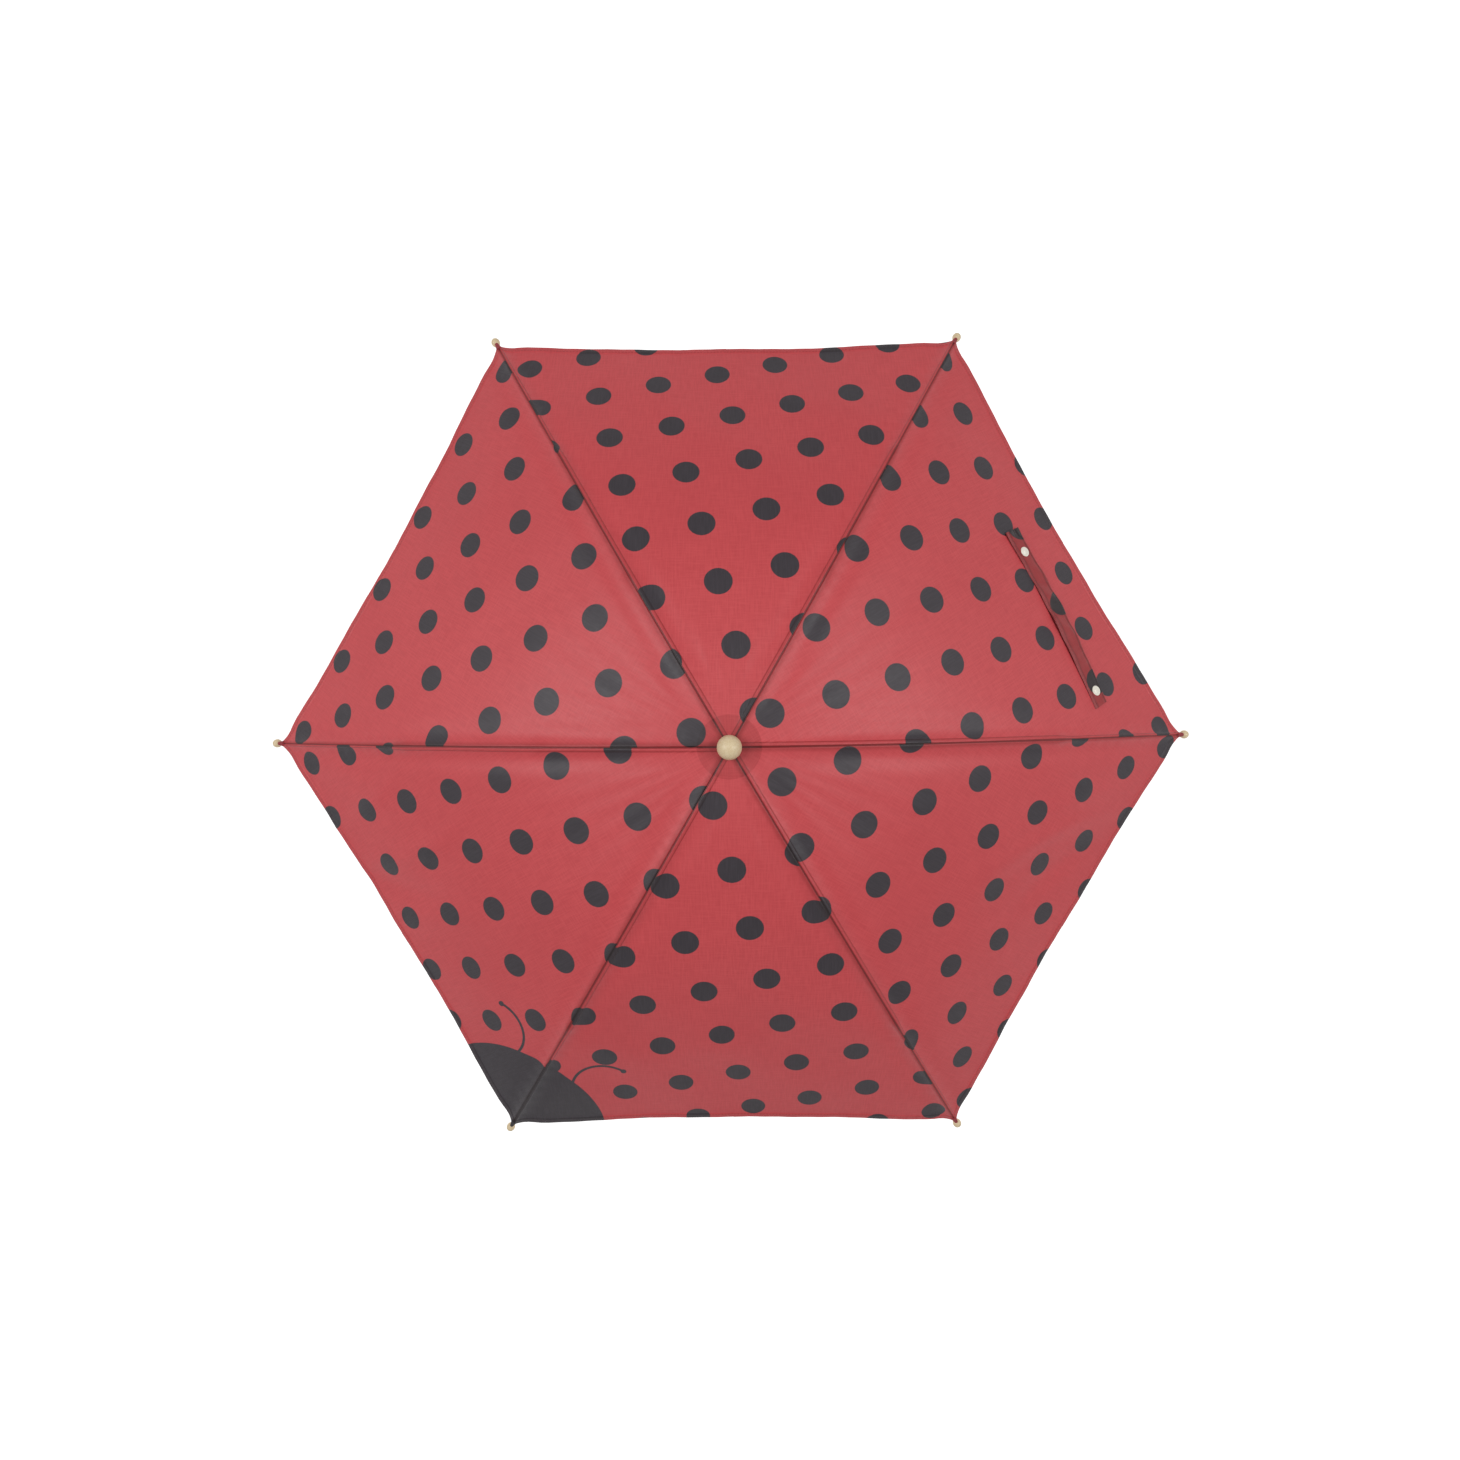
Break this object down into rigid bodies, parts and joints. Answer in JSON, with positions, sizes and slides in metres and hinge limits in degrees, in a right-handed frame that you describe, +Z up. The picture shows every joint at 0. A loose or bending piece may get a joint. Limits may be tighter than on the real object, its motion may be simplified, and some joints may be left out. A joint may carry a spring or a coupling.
{
  "type": "children's umbrella",
  "caption": "Child's compact three-fold umbrella, open: red dotted six-panel canopy, ball ferrule, folding ribs, runner and telescopic shaft.",
  "frame": {"origin": "middle of the handle, on the shaft's axis, where a hand holds it", "axes": "+Z up the shaft to the ferrule ball; +X towards the tip of arm 1; arms follow every 60 degrees anticlockwise"},
  "size_m": [0.8734, 0.7574, 0.5395],
  "materials": {
    "red_cloth": "satin-weave pongee, printed with dark dots",
    "dark_cloth": "plain weave",
    "pale_wood": "matt lacquered beech",
    "steel": "zinc plated, satin",
    "fibreglass": "pultruded rod, satin",
    "black_plastic": "moulded, fine texture",
    "cream_plastic": "moulded, glossy"
  },
  "bodies": {
    "handle": {"handle": "pale_wood", "handle_ring": "steel", "lower_tube": "steel"},
    "middle_shaft": {"middle_tube": "steel"},
    "upper_shaft": {"upper_tube": "steel", "crown_notch": "black_plastic", "ferrule_ball": "pale_wood", "crown_rosette": "dark_cloth", "closing_strap": "red_cloth", "snap_cap_1": "cream_plastic", "snap_cap_2": "cream_plastic", "gore_1": "red_cloth", "gore_2": "red_cloth", "gore_3": "red_cloth", "gore_4": "red_cloth", "gore_5": "red_cloth", "gore_6": "red_cloth"},
    "runner": {"runner": "black_plastic"},
    "runner_button": {"runner_button": "pale_wood"},
    "top_rib_1": {"top_rib_1": "steel"},
    "stretcher_1": {"stretcher_1": "steel"},
    "middle_rib_1": {"middle_rib_1": "steel"},
    "outer_rib_1": {"outer_rib_1": "fibreglass", "rib_tip_1": "pale_wood"},
    "drive_link_1": {"drive_link_1": "steel"},
    "top_rib_2": {"top_rib_2": "steel"},
    "stretcher_2": {"stretcher_2": "steel"},
    "middle_rib_2": {"middle_rib_2": "steel"},
    "outer_rib_2": {"outer_rib_2": "fibreglass", "rib_tip_2": "pale_wood"},
    "drive_link_2": {"drive_link_2": "steel"},
    "top_rib_3": {"top_rib_3": "steel"},
    "stretcher_3": {"stretcher_3": "steel"},
    "middle_rib_3": {"middle_rib_3": "steel"},
    "outer_rib_3": {"outer_rib_3": "fibreglass", "rib_tip_3": "pale_wood"},
    "drive_link_3": {"drive_link_3": "steel"},
    "top_rib_4": {"top_rib_4": "steel"},
    "stretcher_4": {"stretcher_4": "steel"},
    "middle_rib_4": {"middle_rib_4": "steel"},
    "outer_rib_4": {"outer_rib_4": "fibreglass", "rib_tip_4": "pale_wood"},
    "drive_link_4": {"drive_link_4": "steel"},
    "top_rib_5": {"top_rib_5": "steel"},
    "stretcher_5": {"stretcher_5": "steel"},
    "middle_rib_5": {"middle_rib_5": "steel"},
    "outer_rib_5": {"outer_rib_5": "fibreglass", "rib_tip_5": "pale_wood"},
    "drive_link_5": {"drive_link_5": "steel"},
    "top_rib_6": {"top_rib_6": "steel"},
    "stretcher_6": {"stretcher_6": "steel"},
    "middle_rib_6": {"middle_rib_6": "steel"},
    "outer_rib_6": {"outer_rib_6": "fibreglass", "rib_tip_6": "pale_wood"},
    "drive_link_6": {"drive_link_6": "steel"}
  },
  "joints": [
    {"name": "shaft_lower_slide", "type": "slide", "parent": "handle", "child": "middle_shaft", "axis": [0, 0, 1], "range_m": [-0.135, 0]},
    {"name": "shaft_upper_slide", "type": "slide", "parent": "middle_shaft", "child": "upper_shaft", "axis": [0, 0, 1], "range_m": [-0.135, 0]},
    {"name": "runner_slide", "type": "slide", "parent": "upper_shaft", "child": "runner", "axis": [0, 0, 1], "range_m": [-0.07863, 0], "deforming": ["gore_1", "gore_2", "gore_3", "gore_4", "gore_5", "gore_6", "closing_strap", "snap_cap_1", "snap_cap_2"]},
    {"name": "runner_button_press", "type": "slide", "parent": "runner", "child": "runner_button", "axis": [0, 1, 0], "range_m": [0, 0.0015], "stiffness_N_per_m": 600},
    {"name": "top_rib_fold_1", "type": "hinge", "parent": "upper_shaft", "child": "top_rib_1", "pos_m": [0.01, 0, 0.4818], "axis": [0, 1, 0], "range_deg": [0, 81.75]},
    {"name": "stretcher_fold_1", "type": "hinge", "parent": "runner", "child": "stretcher_1", "pos_m": [0.0084, 0, 0.41243], "axis": [0, 1, 0], "range_deg": [-46.88, 0]},
    {"name": "middle_rib_fold_1", "type": "hinge", "parent": "top_rib_1", "child": "middle_rib_1", "pos_m": [0.15087, 0, 0.46307], "axis": [0, 1, 0], "range_deg": [-189.15, 0]},
    {"name": "outer_rib_fold_1", "type": "hinge", "parent": "middle_rib_1", "child": "outer_rib_1", "pos_m": [0.28198, 0, 0.41025], "axis": [0, 1, 0], "range_deg": [0, 172.45]},
    {"name": "drive_link_fold_1", "type": "hinge", "parent": "stretcher_1", "child": "drive_link_1", "pos_m": [0.06346, 0, 0.46408], "axis": [0, 1, 0], "range_deg": [0, 126.66]},
    {"name": "top_rib_fold_2", "type": "hinge", "parent": "upper_shaft", "child": "top_rib_2", "pos_m": [0.005, 0.00866, 0.4818], "axis": [-0.866, 0.5, 0], "range_deg": [0, 81.75]},
    {"name": "stretcher_fold_2", "type": "hinge", "parent": "runner", "child": "stretcher_2", "pos_m": [0.0042, 0.00728, 0.41243], "axis": [-0.866, 0.5, 0], "range_deg": [-46.88, 0]},
    {"name": "middle_rib_fold_2", "type": "hinge", "parent": "top_rib_2", "child": "middle_rib_2", "pos_m": [0.07544, 0.13066, 0.46307], "axis": [-0.866, 0.5, 0], "range_deg": [-189.15, 0]},
    {"name": "outer_rib_fold_2", "type": "hinge", "parent": "middle_rib_2", "child": "outer_rib_2", "pos_m": [0.14099, 0.24421, 0.41025], "axis": [-0.866, 0.5, 0], "range_deg": [0, 172.45]},
    {"name": "drive_link_fold_2", "type": "hinge", "parent": "stretcher_2", "child": "drive_link_2", "pos_m": [0.03173, 0.05496, 0.46408], "axis": [-0.866, 0.5, 0], "range_deg": [0, 126.66]},
    {"name": "top_rib_fold_3", "type": "hinge", "parent": "upper_shaft", "child": "top_rib_3", "pos_m": [-0.005, 0.00866, 0.4818], "axis": [-0.866, -0.5, 0], "range_deg": [0, 81.75]},
    {"name": "stretcher_fold_3", "type": "hinge", "parent": "runner", "child": "stretcher_3", "pos_m": [-0.0042, 0.00728, 0.41243], "axis": [-0.866, -0.5, 0], "range_deg": [-46.88, 0]},
    {"name": "middle_rib_fold_3", "type": "hinge", "parent": "top_rib_3", "child": "middle_rib_3", "pos_m": [-0.07544, 0.13066, 0.46307], "axis": [-0.866, -0.5, 0], "range_deg": [-189.15, 0]},
    {"name": "outer_rib_fold_3", "type": "hinge", "parent": "middle_rib_3", "child": "outer_rib_3", "pos_m": [-0.14099, 0.24421, 0.41025], "axis": [-0.866, -0.5, 0], "range_deg": [0, 172.45]},
    {"name": "drive_link_fold_3", "type": "hinge", "parent": "stretcher_3", "child": "drive_link_3", "pos_m": [-0.03173, 0.05496, 0.46408], "axis": [-0.866, -0.5, 0], "range_deg": [0, 126.66]},
    {"name": "top_rib_fold_4", "type": "hinge", "parent": "upper_shaft", "child": "top_rib_4", "pos_m": [-0.01, 0, 0.4818], "axis": [0, -1, 0], "range_deg": [0, 81.75]},
    {"name": "stretcher_fold_4", "type": "hinge", "parent": "runner", "child": "stretcher_4", "pos_m": [-0.0084, 0, 0.41243], "axis": [0, -1, 0], "range_deg": [-46.88, 0]},
    {"name": "middle_rib_fold_4", "type": "hinge", "parent": "top_rib_4", "child": "middle_rib_4", "pos_m": [-0.15087, 0, 0.46307], "axis": [0, -1, 0], "range_deg": [-189.15, 0]},
    {"name": "outer_rib_fold_4", "type": "hinge", "parent": "middle_rib_4", "child": "outer_rib_4", "pos_m": [-0.28198, 0, 0.41025], "axis": [0, -1, 0], "range_deg": [0, 172.45]},
    {"name": "drive_link_fold_4", "type": "hinge", "parent": "stretcher_4", "child": "drive_link_4", "pos_m": [-0.06346, 0, 0.46408], "axis": [0, -1, 0], "range_deg": [0, 126.66]},
    {"name": "top_rib_fold_5", "type": "hinge", "parent": "upper_shaft", "child": "top_rib_5", "pos_m": [-0.005, -0.00866, 0.4818], "axis": [0.866, -0.5, 0], "range_deg": [0, 81.75]},
    {"name": "stretcher_fold_5", "type": "hinge", "parent": "runner", "child": "stretcher_5", "pos_m": [-0.0042, -0.00728, 0.41243], "axis": [0.866, -0.5, 0], "range_deg": [-46.88, 0]},
    {"name": "middle_rib_fold_5", "type": "hinge", "parent": "top_rib_5", "child": "middle_rib_5", "pos_m": [-0.07544, -0.13066, 0.46307], "axis": [0.866, -0.5, 0], "range_deg": [-189.15, 0]},
    {"name": "outer_rib_fold_5", "type": "hinge", "parent": "middle_rib_5", "child": "outer_rib_5", "pos_m": [-0.14099, -0.24421, 0.41025], "axis": [0.866, -0.5, 0], "range_deg": [0, 172.45]},
    {"name": "drive_link_fold_5", "type": "hinge", "parent": "stretcher_5", "child": "drive_link_5", "pos_m": [-0.03173, -0.05496, 0.46408], "axis": [0.866, -0.5, 0], "range_deg": [0, 126.66]},
    {"name": "top_rib_fold_6", "type": "hinge", "parent": "upper_shaft", "child": "top_rib_6", "pos_m": [0.005, -0.00866, 0.4818], "axis": [0.866, 0.5, 0], "range_deg": [0, 81.75]},
    {"name": "stretcher_fold_6", "type": "hinge", "parent": "runner", "child": "stretcher_6", "pos_m": [0.0042, -0.00728, 0.41243], "axis": [0.866, 0.5, 0], "range_deg": [-46.88, 0]},
    {"name": "middle_rib_fold_6", "type": "hinge", "parent": "top_rib_6", "child": "middle_rib_6", "pos_m": [0.07544, -0.13066, 0.46307], "axis": [0.866, 0.5, 0], "range_deg": [-189.15, 0]},
    {"name": "outer_rib_fold_6", "type": "hinge", "parent": "middle_rib_6", "child": "outer_rib_6", "pos_m": [0.14099, -0.24421, 0.41025], "axis": [0.866, 0.5, 0], "range_deg": [0, 172.45]},
    {"name": "drive_link_fold_6", "type": "hinge", "parent": "stretcher_6", "child": "drive_link_6", "pos_m": [0.03173, -0.05496, 0.46408], "axis": [0.866, 0.5, 0], "range_deg": [0, 126.66]}
  ],
  "couplings": [
    {"joint": "top_rib_fold_1", "follows": "runner_slide", "rad_per_m": -18.135},
    {"joint": "stretcher_fold_1", "follows": "runner_slide", "rad_per_m": 10.395},
    {"joint": "middle_rib_fold_1", "follows": "runner_slide", "rad_per_m": 41.974},
    {"joint": "outer_rib_fold_1", "follows": "runner_slide", "rad_per_m": -38.267},
    {"joint": "drive_link_fold_1", "follows": "runner_slide", "rad_per_m": -28.103},
    {"joint": "top_rib_fold_2", "follows": "runner_slide", "rad_per_m": -18.135},
    {"joint": "stretcher_fold_2", "follows": "runner_slide", "rad_per_m": 10.395},
    {"joint": "middle_rib_fold_2", "follows": "runner_slide", "rad_per_m": 41.974},
    {"joint": "outer_rib_fold_2", "follows": "runner_slide", "rad_per_m": -38.267},
    {"joint": "drive_link_fold_2", "follows": "runner_slide", "rad_per_m": -28.103},
    {"joint": "top_rib_fold_3", "follows": "runner_slide", "rad_per_m": -18.135},
    {"joint": "stretcher_fold_3", "follows": "runner_slide", "rad_per_m": 10.395},
    {"joint": "middle_rib_fold_3", "follows": "runner_slide", "rad_per_m": 41.974},
    {"joint": "outer_rib_fold_3", "follows": "runner_slide", "rad_per_m": -38.267},
    {"joint": "drive_link_fold_3", "follows": "runner_slide", "rad_per_m": -28.103},
    {"joint": "top_rib_fold_4", "follows": "runner_slide", "rad_per_m": -18.135},
    {"joint": "stretcher_fold_4", "follows": "runner_slide", "rad_per_m": 10.395},
    {"joint": "middle_rib_fold_4", "follows": "runner_slide", "rad_per_m": 41.974},
    {"joint": "outer_rib_fold_4", "follows": "runner_slide", "rad_per_m": -38.267},
    {"joint": "drive_link_fold_4", "follows": "runner_slide", "rad_per_m": -28.103},
    {"joint": "top_rib_fold_5", "follows": "runner_slide", "rad_per_m": -18.135},
    {"joint": "stretcher_fold_5", "follows": "runner_slide", "rad_per_m": 10.395},
    {"joint": "middle_rib_fold_5", "follows": "runner_slide", "rad_per_m": 41.974},
    {"joint": "outer_rib_fold_5", "follows": "runner_slide", "rad_per_m": -38.267},
    {"joint": "drive_link_fold_5", "follows": "runner_slide", "rad_per_m": -28.103},
    {"joint": "top_rib_fold_6", "follows": "runner_slide", "rad_per_m": -18.135},
    {"joint": "stretcher_fold_6", "follows": "runner_slide", "rad_per_m": 10.395},
    {"joint": "middle_rib_fold_6", "follows": "runner_slide", "rad_per_m": 41.974},
    {"joint": "outer_rib_fold_6", "follows": "runner_slide", "rad_per_m": -38.267},
    {"joint": "drive_link_fold_6", "follows": "runner_slide", "rad_per_m": -28.103}
  ]
}
